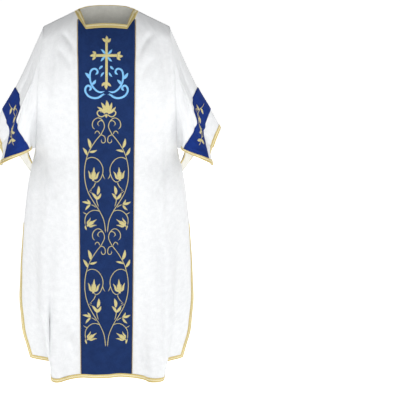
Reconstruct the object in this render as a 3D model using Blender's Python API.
"""A dalmatic, the wide-sleeved tunic of a deacon, hanging hollow as if it were worn.

The white body is a front and a back panel, sewn together along the shoulders and from underarm to slit.
Wide sleeves, open underneath, are sewn to the armholes. Blue orphreys lie down the front and the back and
round the sleeves, and gold braid binds the neck, the cuffs, the sleeves' undersides, the slits and the hems.

Metres, +Z up. The front faces -Y, and the wearer's left is +X. The origin is midway between the two points
where the shoulder seams reach the neck opening.
"""

import math

import bmesh
import bpy
import numpy as np

# Cloth and braid
WALL = 0.002
ORPHREY_THICK = 0.0012
BRAID_THICK = 0.0014
BRAID_WIDTH = 0.015
SEAM_GAP = 0.0003
LIFT = 0.0006
PATCH_INSET = 0.00018
PIPING_RADIUS = 0.0012
PIPING_CLEAR = 0.0005
PIPING_END = 0.004

# Neck and shoulders
NECK_HALF = 0.091
NECK_CORNER = 0.067
NECK_DROP_FRONT = 0.043
NECK_ARCH_FRONT = 0.004
NECK_RISE_BACK = 0.006
NAPE_RISE = 0.050
BRAID_DROP_NECK = 0.0125
BRAID_DROP_SHOULDER = 0.026
SHOULDER_HALF = 0.210
SHOULDER_DROP = 0.057
YOKE_HEIGHT = 0.200
YOKE_ROUND = 1.7

# Armhole
UNDERARM_DROP = 0.475
ARM_DEEPEST_DROP = 0.260
ARM_DEPTH = {"front": 0.096, "back": 0.080}

# Body grid: columns counted from the centre line, rows from the top edge
COLUMN_CORNER = 2
COLUMN_ORPHREY = 3
COLUMN_BRAID_END = 4
COLUMN_EDGE_BRAID = 13
COLUMN_EDGE = 14
YOKE_ROWS = 4
ROW_DROPS = (
    0.16, 0.23, 0.31, 0.385, 0.458, UNDERARM_DROP, 0.545, 0.615, 0.685, 0.755, 0.83,
    0.905, 0.98, 1.055, 1.12, 1.18, 1.23, 1.273, 1.288,
)  # fmt: skip
ROW_UNDERARM = YOKE_ROWS + 5
ROW_SLIT = YOKE_ROWS + 9
ROW_HEM_BRAID = YOKE_ROWS + 17
ROW_HEM = YOKE_ROWS + 18

# Level sections of the body, a row for each height below the neck point
SECTION_COLUMNS = ("drop", "half_width", "front_depth", "back_depth", "closed", "fold")
SECTIONS = (
    (0.000, 0.222, 0.140, 0.128, 0.0, 0.00),
    (0.160, 0.222, 0.142, 0.130, 0.0, 0.00),
    (0.300, 0.231, 0.150, 0.132, 0.0, 0.00),
    (0.475, 0.247, 0.156, 0.130, 0.4, 0.00),
    (0.626, 0.279, 0.158, 0.127, 1.0, 0.02),
    (0.755, 0.295, 0.160, 0.126, 1.0, 0.15),
    (0.910, 0.310, 0.163, 0.128, 1.0, 0.45),
    (1.060, 0.319, 0.166, 0.131, 1.0, 0.75),
    (1.180, 0.311, 0.168, 0.134, 1.0, 0.92),
    (1.288, 0.286, 0.170, 0.136, 1.0, 1.00),
)

# The hem's section, as shares of the half width and of the depth, from the centre line to the slit's edge
FOLD_COLUMNS = ("along", "across", "depth")
FRONT_FOLD = (
    (0.00, 0.000, 1.00),
    (0.22, 0.360, 1.00),
    (0.40, 0.590, 1.16),
    (0.50, 0.700, 1.14),
    (0.57, 0.715, 0.92),
    (0.68, 0.680, 0.54),
    (0.80, 0.780, 0.30),
    (0.92, 0.930, 0.18),
    (1.00, 1.000, 0.10),
)
BACK_FOLD = (
    (0.00, 0.000, 1.00),
    (0.25, 0.380, 1.00),
    (0.42, 0.600, 1.06),
    (0.55, 0.750, 0.98),
    (0.66, 0.800, 0.66),
    (0.78, 0.830, 0.42),
    (0.90, 0.930, 0.26),
    (1.00, 1.000, 0.16),
)

# Sleeve grid: cells along a row, from the armhole to the cuff's braid
INNER_CELLS = 3
BAND_CELLS = 2
STRIP_CELLS = 2
SEAM_RUN = 0.014
MAX_TURN = 2.6
TURN_ROOM = 1.7
UNDERARM_CLEAR = 0.0025
BESIDE_SHARE = 0.6
# Lines round the sleeve: the band's inner and outer edges and the cuff.
# share runs from 0 at the front underside edge through 0.5 at the top fold to 1 at the back underside edge.
SLEEVE_COLUMNS = ("share", "x", "y", "z")
BAND_INNER = (
    (0.00, 0.264, -0.062, -0.470),
    (0.10, 0.276, -0.098, -0.424),
    (0.20, 0.301, -0.098, -0.378),
    (0.30, 0.296, -0.095, -0.342),
    (0.40, 0.288, -0.070, -0.301),
    (0.50, 0.308, -0.022, -0.261),
    (0.62, 0.313, 0.045, -0.307),
    (0.75, 0.297, 0.072, -0.360),
    (0.88, 0.282, 0.060, -0.431),
    (1.00, 0.277, 0.022, -0.488),
)
BAND_OUTER = (
    (0.00, 0.353, -0.080, -0.510),
    (0.10, 0.341, -0.048, -0.459),
    (0.20, 0.334, -0.016, -0.418),
    (0.30, 0.336, -0.018, -0.399),
    (0.40, 0.342, -0.018, -0.377),
    (0.50, 0.360, 0.014, -0.343),
    (0.62, 0.348, 0.080, -0.395),
    (0.75, 0.324, 0.113, -0.445),
    (0.88, 0.295, 0.110, -0.512),
    (1.00, 0.266, 0.082, -0.569),
)
CUFF = (
    (0.00, 0.366, -0.005, -0.540),
    (0.10, 0.364, 0.012, -0.512),
    (0.20, 0.368, 0.018, -0.493),
    (0.30, 0.377, 0.012, -0.475),
    (0.40, 0.385, 0.018, -0.451),
    (0.50, 0.402, 0.052, -0.417),
    (0.62, 0.374, 0.102, -0.477),
    (0.75, 0.337, 0.137, -0.525),
    (0.88, 0.299, 0.150, -0.587),
    (1.00, 0.259, 0.135, -0.633),
)

COLOURS = {
    "white_cloth": ((0.86, 0.87, 0.88, 1), 0.75),
    "blue_cloth": ((0.012, 0.030, 0.135, 1), 0.80),
    "gold_braid": ((0.62, 0.47, 0.18, 1), 0.45),
}


def smooth_curve(rows):
    """A natural cubic through rows of (parameter, values...): a function of an array of parameters."""
    rows = np.array(rows, float)
    t, p = rows[:, 0], rows[:, 1:]
    n = len(t)
    h = np.diff(t)
    system = np.zeros((n, n))
    right = np.zeros((n, p.shape[1]))
    system[0, 0] = system[-1, -1] = 1
    for i in range(1, n - 1):
        system[i, i - 1 : i + 2] = h[i - 1], 2 * (h[i - 1] + h[i]), h[i]
        right[i] = 3 * ((p[i + 1] - p[i]) / h[i] - (p[i] - p[i - 1]) / h[i - 1])
    c = np.linalg.solve(system, right)
    b = np.diff(p, axis=0) / h[:, None] - h[:, None] * (2 * c[:-1] + c[1:]) / 3
    d = (c[1:] - c[:-1]) / (3 * h[:, None])

    def at(values):
        values = np.atleast_1d(np.asarray(values, float))
        k = np.clip(np.searchsorted(t, values, "right") - 1, 0, n - 2)
        w = (values - t[k])[:, None]
        return p[k] + b[k] * w + c[k] * w**2 + d[k] * w**3

    return at


FOLD_OF = {"front": smooth_curve(FRONT_FOLD), "back": smooth_curve(BACK_FOLD)}
FACING = {"front": -1, "back": 1}
SECTION_TABLE = np.array(SECTIONS)


def section_value(name, drop):
    column = SECTION_COLUMNS.index(name)
    return float(np.interp(drop, SECTION_TABLE[:, 0], SECTION_TABLE[:, column]))


def arm_depth(side, drop):
    """How far the armhole's edge stands off the shoulder line, before the yoke rounds it off."""
    share = min(max(drop - ARM_DEEPEST_DROP, 0) / (UNDERARM_DROP - ARM_DEEPEST_DROP), 1)
    return ARM_DEPTH[side] * max(math.cos(share * math.pi / 2), 0) ** 0.7


def open_depth(across, depth, edge):
    """Depth of a section that ends at an armhole, across from 0 at the centre to 1 at the edge."""
    return edge + (depth - edge) * np.cos(np.minimum(across, 1) ** 1.3 * math.pi / 2)


def ridge(side, x):
    """Height of the shoulder line, which the back carries up to the nape inside the neck opening."""
    x = abs(x)
    if x < NECK_HALF:
        return NAPE_RISE * (1 - (x / NECK_HALF) ** 2) if side == "back" else 0.0
    return -SHOULDER_DROP * (x - NECK_HALF) / (SHOULDER_HALF - NECK_HALF)


def yoke(side, x, z):
    """The share of its full depth that the cloth has at this height, rounding over the shoulder."""
    below = min(max((ridge(side, x) - z) / YOKE_HEIGHT, 0), 1)
    return (1 - (1 - below) ** YOKE_ROUND) ** (1 / YOKE_ROUND)


def section(side, drop):
    """Points of a level section from the centre line to the panel's edge, and the cloth length up to each."""
    a = np.linspace(0, 1, 161)
    half, depth = section_value("half_width", drop), section_value(f"{side}_depth", drop)
    edge = arm_depth(side, drop)
    opened = np.stack([half * a, open_depth(a, depth, edge)], 1)
    turn = a * math.pi / 2
    closed = np.stack([half * np.sin(turn) ** 0.9, depth * np.maximum(np.cos(turn), 0) ** 0.8], 1)
    folded = FOLD_OF[side](a) * (half, depth)
    part_closed, part_fold = section_value("closed", drop), section_value("fold", drop)
    points = opened * (1 - part_closed) + closed * part_closed
    points = points * (1 - part_fold) + folded * part_fold
    points[:, 1] *= [yoke(side, x, -drop) for x in points[:, 0]]
    length = np.concatenate([[0], np.cumsum(np.linalg.norm(np.diff(points, axis=0), axis=1))])
    return points, length


def column_length(column, total):
    """Cloth length from the centre line to this column."""
    knots = (0, COLUMN_CORNER, COLUMN_ORPHREY, COLUMN_BRAID_END, COLUMN_EDGE_BRAID, COLUMN_EDGE)
    lengths = (0, NECK_CORNER, NECK_HALF, NECK_HALF + BRAID_WIDTH, total - BRAID_WIDTH, total)
    return float(np.interp(abs(column), knots, lengths))


def top_edge(side, column):
    """(x, z) of the neckline or the shoulder seam at this column, x positive."""
    column = abs(column)
    if column >= COLUMN_ORPHREY:
        reach = SHOULDER_HALF - NECK_HALF + BRAID_WIDTH
        x = min(column_length(column, NECK_HALF + reach), SHOULDER_HALF)
        if column > COLUMN_BRAID_END:
            start = NECK_HALF + BRAID_WIDTH
            share = (column - COLUMN_BRAID_END) / (COLUMN_EDGE - COLUMN_BRAID_END)
            x = start + (SHOULDER_HALF - start) * share
        return x, ridge(side, x)
    x = column_length(column, 1.0)
    if side == "back":
        return x, NECK_RISE_BACK * (1 - (column / COLUMN_ORPHREY) ** 4)
    if column <= COLUMN_CORNER:
        return x, -NECK_DROP_FRONT + NECK_ARCH_FRONT * (1 - (column / COLUMN_CORNER) ** 2)
    share = (column - COLUMN_CORNER) / (COLUMN_ORPHREY - COLUMN_CORNER)
    return x, -NECK_DROP_FRONT * (1 - share)


def braid_edge(side, column):
    """(x, z) of the neck braid's lower edge, and of the first row beyond it, at this column."""
    x, z = top_edge(side, column)
    column = abs(column)
    at_shoulder = BRAID_DROP_SHOULDER if side == "front" else BRAID_DROP_NECK
    drop = np.interp(
        column, (0, COLUMN_CORNER, COLUMN_ORPHREY), (BRAID_DROP_NECK, BRAID_DROP_NECK, at_shoulder)
    )
    return x + (0.002 if column == COLUMN_ORPHREY else 0), z - float(drop)


def body_point(side, column, row):
    """A point of the body's inner face, at a whole column and row of the panel's grid."""
    sign = 1 if column >= 0 else -1
    if row >= YOKE_ROWS:
        drop = ROW_DROPS[row - YOKE_ROWS]
        points, length = section(side, drop)
        s = column_length(column, length[-1])
        x, depth = (np.interp(s, length, points[:, i]) for i in (0, 1))
        z = -drop
    else:
        (x0, z0), (x1, z1) = top_edge(side, column), braid_edge(side, column)
        points, length = section(side, ROW_DROPS[0])
        x2 = np.interp(column_length(column, length[-1]), length, points[:, 0])
        share = max(row - 1, 0) / (YOKE_ROWS - 1)
        x, z = (x0, z0) if row == 0 else (x1 + (x2 - x1) * share, z1 + (-ROW_DROPS[0] - z1) * share)
        half = section_value("half_width", -z)
        full = open_depth(abs(x) / half, section_value(f"{side}_depth", -z), arm_depth(side, -z))
        depth = full * yoke(side, x, z)
    return np.array([sign * x, FACING[side] * (depth + SEAM_GAP / 2), z])


def spaced(curve, edge_length, rows):
    """Points of an open curve: the first edge_length along it is one cell, and the rest are even."""
    length = np.concatenate([[0], np.cumsum(np.linalg.norm(np.diff(curve, axis=0), axis=1))])
    wanted = np.concatenate([[0], np.linspace(edge_length, length[-1], rows - 1)])
    return np.stack([np.interp(wanted, length, curve[:, i]) for i in range(3)], 1)


def sleeve_station(rows):
    """A station's points, one for each row from the front underside edge over the top to the back one."""
    curve = smooth_curve(rows)
    half = ROW_UNDERARM + 1
    front = spaced(curve(np.linspace(0, 0.5, 200)), BRAID_WIDTH, half)
    back = spaced(curve(np.linspace(1, 0.5, 200)), BRAID_WIDTH, half)
    return np.concatenate([front, back[::-1][1:]])


def armhole(panels):
    """Along the body's armhole edge, in the same order: the point, the cloth's outward normal, the way the
    cloth runs to the edge, and the way the edge itself runs."""
    order = [("front", r) for r in range(ROW_UNDERARM, 0, -1)]
    order += [("back", r) for r in range(0, ROW_UNDERARM + 1)]
    points = np.array([panels[side].point(COLUMN_EDGE, r) for side, r in order])
    edge = []
    for (side, r), here, way in zip(order, points, np.gradient(points, axis=0)):
        along = here - panels[side].point(COLUMN_EDGE - 1, r)
        normal = panels[side].normal(COLUMN_EDGE, r)
        edge.append((here, normal, along / np.linalg.norm(along), way / np.linalg.norm(way)))
    return edge


def cells_between(curve, start, end, cells):
    """Points that split a curve evenly between two of its points, without the first."""
    part = curve[start : end + 1]
    length = np.concatenate([[0], np.cumsum(np.linalg.norm(np.diff(part, axis=0), axis=1))])
    wanted = np.linspace(0, length[-1], cells + 1)[1:]
    return np.stack([np.interp(wanted, length, part[:, i]) for i in range(3)], 1)


def leaving(start, normal, along, edge, inner):
    """The way a sleeve row leaves the armhole, and how far off it starts so as to clear the body's wall."""
    chord = (inner - start) / np.linalg.norm(inner - start)
    away = chord + normal * max(0.0, 0.3 - float(chord @ along))
    away /= np.linalg.norm(away)
    clear = away - edge * float(away @ edge)
    clear /= np.linalg.norm(clear)
    turn = min(max(math.atan2(float(normal @ clear), float(along @ clear)), 0), MAX_TURN)
    return away, clear, SEAM_GAP + WALL * TURN_ROOM * math.tan(turn / 2)


def sleeve_row(start, away, inner, outer, cuff):
    """A row of the sleeve's grid, from the armhole to the cuff."""
    route = np.array([start, start + away * SEAM_RUN, inner, outer, cuff])
    place = np.concatenate([[0], np.cumsum(np.linalg.norm(np.diff(route, axis=0), axis=1))])
    steps = 60
    fine = np.concatenate([np.linspace(a, b, steps + 1)[1:] for a, b in zip(place[:-1], place[1:])])
    curve = smooth_curve(np.column_stack([place, route]))(np.concatenate([[0], fine]))
    inner_end, outer_end, cuff_end = 2 * steps, 3 * steps, 4 * steps
    strip = np.linalg.norm(np.diff(curve[outer_end:], axis=0), axis=1)
    braid_at = outer_end + int(np.searchsorted(np.cumsum(strip), strip.sum() - BRAID_WIDTH))
    return np.concatenate(
        [
            [start],
            cells_between(curve, 0, inner_end, INNER_CELLS),
            cells_between(curve, inner_end, outer_end, BAND_CELLS),
            cells_between(curve, outer_end, braid_at, STRIP_CELLS),
            cells_between(curve, braid_at, cuff_end, 1),
        ]
    )


def sleeve_grid(panels):
    """Points of the wearer's left sleeve, a row for each point of the armhole, from armhole to cuff."""
    edges = armhole(panels)
    inner, outer, cuff = (sleeve_station(rows) for rows in (BAND_INNER, BAND_OUTER, CUFF))
    ways = [leaving(*edge, target) for edge, target in zip(edges, inner)]
    room = np.array([way[2] for way in ways])
    beside = np.maximum(np.append(room[1:], 0), np.insert(room[:-1], 0, 0))
    room = np.maximum(room, BESIDE_SHARE * beside)
    rows = []
    for k, ((point, normal, *_), (away, clear, _)) in enumerate(zip(edges, ways)):
        lift = UNDERARM_CLEAR if k in (0, len(edges) - 1) else 0
        rows.append(sleeve_row(point + clear * room[k] + normal * lift, away, inner[k], outer[k], cuff[k]))
    return np.array(rows)


class Panel:
    """A piece of cloth: a grid of points on its inner face, and the normals there."""

    def __init__(self, name, grid, first_column, turned):
        self.name, self.grid, self.first, self.turned = name, grid, first_column, turned
        self.rows, self.columns = grid.shape[:2]
        mesh = surface_mesh(name + "_guide", grid.reshape(-1, 3), self.triangles())
        self.normals = np.array([tuple(n.vector) for n in mesh.vertex_normals]).reshape(grid.shape)
        bpy.data.meshes.remove(mesh)

    def point(self, column, row):
        return self.grid[row, column - self.first]

    def normal(self, column, row):
        return self.normals[row, column - self.first]

    def cell(self, row, column):
        """The two triangles of a cell. The diagonal is mirrored left of the body's centre line, and on the
        front half of a sleeve, where it has to be the short one because the rows leave at a slant."""
        i = row * self.columns + column
        a, b, c, d = i, i + 1, i + self.columns + 1, i + self.columns
        mirrored = column + self.first < 0 if self.first else row < self.rows // 2
        first, second = ((a, c, b), (a, d, c)) if mirrored else ((a, d, b), (b, d, c))
        if self.turned:
            first, second = first[::-1], second[::-1]
        return first, second

    def triangles(self, cells=None):
        if cells is None:
            cells = [(r, c) for r in range(self.rows - 1) for c in range(self.columns - 1)]
        return [t for r, c in cells for t in self.cell(r, c)]


def surface_mesh(name, points, triangles):
    """An open surface from the triangles given, with only the points that they use."""
    used = sorted({i for t in triangles for i in t})
    place = {i: k for k, i in enumerate(used)}
    mesh = bpy.data.meshes.new(name)
    mesh.from_pydata([tuple(points[i]) for i in used], [], [tuple(place[i] for i in t) for t in triangles])
    mesh.update()
    return mesh


def material(slot):
    found = bpy.data.materials.get(slot)
    if found:
        return found
    colour, roughness = COLOURS[slot]
    made = bpy.data.materials.new(slot)
    made.use_nodes = True
    shader = made.node_tree.nodes["Principled BSDF"]
    shader.inputs["Base Color"].default_value = colour
    shader.inputs["Roughness"].default_value = roughness
    made.diffuse_color = colour
    return made


def show(name, data, slot, collection):
    made = bpy.data.objects.new(name, data)
    collection.objects.link(made)
    data.materials.append(material(slot))
    return made


def outline(triangles):
    """The directed edges that only one triangle has."""
    sides = {(t[i], t[(i + 1) % 3]) for t in triangles for i in range(3)}
    return [(a, b) for a, b in sides if (b, a) not in sides]


def shell(name, inner, outer, triangles, slot, collection):
    """A closed wall between two layers of points that share their triangles."""
    used = sorted({i for t in triangles for i in t})
    place = {i: k for k, i in enumerate(used)}
    count = len(used)
    points = [tuple(inner[i]) for i in used] + [tuple(outer[i]) for i in used]
    faces = [tuple(place[i] + count for i in t) for t in triangles]
    faces += [tuple(place[i] for i in reversed(t)) for t in triangles]
    for a, b in sorted(outline(triangles)):
        a, b, c, d = place[a], place[b], place[b] + count, place[a] + count
        faces += [(d, a, b), (d, b, c)] if a < b else [(d, a, c), (c, a, b)]
    mesh = bpy.data.meshes.new(name)
    mesh.from_pydata(points, [], faces)
    mesh.update()
    mesh.shade_smooth()
    show(name, mesh, slot, collection)


def cloth(panel, slot, collection):
    points, normals = panel.grid.reshape(-1, 3), panel.normals.reshape(-1, 3)
    shell(panel.name, points, points + normals * WALL, panel.triangles(), slot, collection)


def inset(points, normals, triangles, width):
    """Moves the outline of a patch inwards by width, so that neighbouring patches stay apart."""
    push = {}
    for a, b in outline(triangles):
        inward = np.cross(normals[a] + normals[b], points[b] - points[a])
        inward /= np.linalg.norm(inward)
        for i in (a, b):
            push.setdefault(i, []).append(inward)
    moved = points.copy()
    for i, ways in push.items():
        total = sum(ways)
        moved[i] += width * total / max(float(total @ ways[0]), 0.3)
    return moved


def patch(name, panel, triangles, slot, thickness, collection):
    """A piece that lies on a panel, made from the panel's outer points, moved out."""
    normals = panel.normals.reshape(-1, 3)
    points = inset(panel.grid.reshape(-1, 3), normals, triangles, PATCH_INSET)
    lower = points + normals * (WALL + LIFT)
    shell(name, lower, lower + normals * thickness, triangles, slot, collection)


def body_panel(side):
    columns = range(-COLUMN_EDGE, COLUMN_EDGE + 1)
    grid = [[body_point(side, c, r) for c in columns] for r in range(ROW_HEM + 1)]
    return Panel(f"{side}_panel", np.array(grid), -COLUMN_EDGE, side == "back")


def orphrey(side, panel, collection):
    columns = range(COLUMN_EDGE - COLUMN_ORPHREY, COLUMN_EDGE + COLUMN_ORPHREY)
    cells = [(r, c) for r in range(1, ROW_HEM_BRAID) for c in columns]
    patch(f"orphrey_{side}", panel, panel.triangles(cells), "blue_cloth", ORPHREY_THICK, collection)


def neck_braid(side, panel, collection):
    """Along the neckline, with a corner piece on each shoulder."""
    columns = range(COLUMN_EDGE - COLUMN_ORPHREY, COLUMN_EDGE + COLUMN_ORPHREY)
    triangles = panel.triangles([(0, c) for c in columns])
    triangles.append(panel.cell(0, COLUMN_EDGE + COLUMN_ORPHREY)[0])
    triangles.append(panel.cell(0, COLUMN_EDGE - COLUMN_BRAID_END)[0])
    patch(f"neck_braid_{side}", panel, triangles, "gold_braid", BRAID_THICK, collection)


def hem_braid(side, panel, collection):
    """One length of braid: down a slit, along the hem and up the other slit."""
    last = panel.columns - 2
    cells = [(r, c) for r in range(ROW_SLIT, ROW_HEM_BRAID) for c in (0, last)]
    cells += [(ROW_HEM_BRAID, c) for c in range(last + 1)]
    patch(f"hem_braid_{side}", panel, panel.triangles(cells), "gold_braid", BRAID_THICK, collection)


def tube(name, rings, slot, collection):
    """A closed four-sided tube through the rings given."""
    sides = len(rings[0])
    points = [tuple(p) for ring in rings for p in ring]
    faces = [tuple(range(sides))[::-1], tuple(range(len(points) - sides, len(points)))]
    for start in range(0, len(points) - sides, sides):
        for k in range(sides):
            a, b = start + k, start + (k + 1) % sides
            faces.append((a, b, b + sides, a + sides))
    mesh = bpy.data.meshes.new(name)
    mesh.from_pydata(points, [], faces)
    work = bmesh.new()
    work.from_mesh(mesh)
    bmesh.ops.recalc_face_normals(work, faces=work.faces)
    work.to_mesh(mesh)
    work.free()
    show(name, mesh, slot, collection)


def piping(side, panel, collection):
    """Thin gold piping along both edges of an orphrey."""
    for hand, sign in (("left", 1), ("right", -1)):
        column = sign * COLUMN_ORPHREY
        rings = []
        for row in range(1, ROW_HEM_BRAID + 1):
            n, here = panel.normal(column, row), panel.point(column, row)
            beside = panel.point(column + sign, row) - here
            beside = beside - n * float(beside @ n)
            beside /= np.linalg.norm(beside)
            middle = here + n * (WALL + PIPING_RADIUS + LIFT) + beside * (PIPING_RADIUS + PIPING_CLEAR)
            ways = (beside, n, -beside, -n)
            rings.append(np.array([middle + way * PIPING_RADIUS for way in ways]))
        for end, inner in ((0, 1), (-1, -2)):
            along = rings[inner].mean(0) - rings[end].mean(0)
            rings[end] = rings[end] + along / np.linalg.norm(along) * PIPING_END
        tube(f"piping_{side}_{hand}", rings, "gold_braid", collection)


def mirrored(grid):
    return grid * np.array([-1, 1, 1])


def sleeve(hand, grid, collection):
    """A sleeve with its blue band and one length of braid round its three free edges."""
    panel = Panel(f"sleeve_{hand}", grid, 0, hand == "left")
    cloth(panel, "white_cloth", collection)
    last_row, last_column = panel.rows - 2, panel.columns - 2
    band = range(INNER_CELLS, INNER_CELLS + BAND_CELLS)
    cells = [(r, c) for r in range(1, last_row) for c in band]
    patch(
        f"sleeve_band_{hand}", panel, panel.triangles(cells), "blue_cloth", ORPHREY_THICK, collection
    )
    cells = [(r, c) for r in (0, last_row) for c in range(1, last_column)]
    cells += [(r, last_column) for r in range(last_row + 1)]
    patch(
        f"sleeve_braid_{hand}", panel, panel.triangles(cells), "gold_braid", BRAID_THICK, collection
    )


def main():
    for old in list(bpy.data.objects):
        bpy.data.objects.remove(old)
    collection = bpy.data.collections.new("dalmatic")
    bpy.context.scene.collection.children.link(collection)
    panels = {side: body_panel(side) for side in FACING}
    for side, panel in panels.items():
        cloth(panel, "white_cloth", collection)
        orphrey(side, panel, collection)
        neck_braid(side, panel, collection)
        hem_braid(side, panel, collection)
        piping(side, panel, collection)
    grid = sleeve_grid(panels)
    sleeve("left", grid, collection)
    sleeve("right", mirrored(grid), collection)


main()
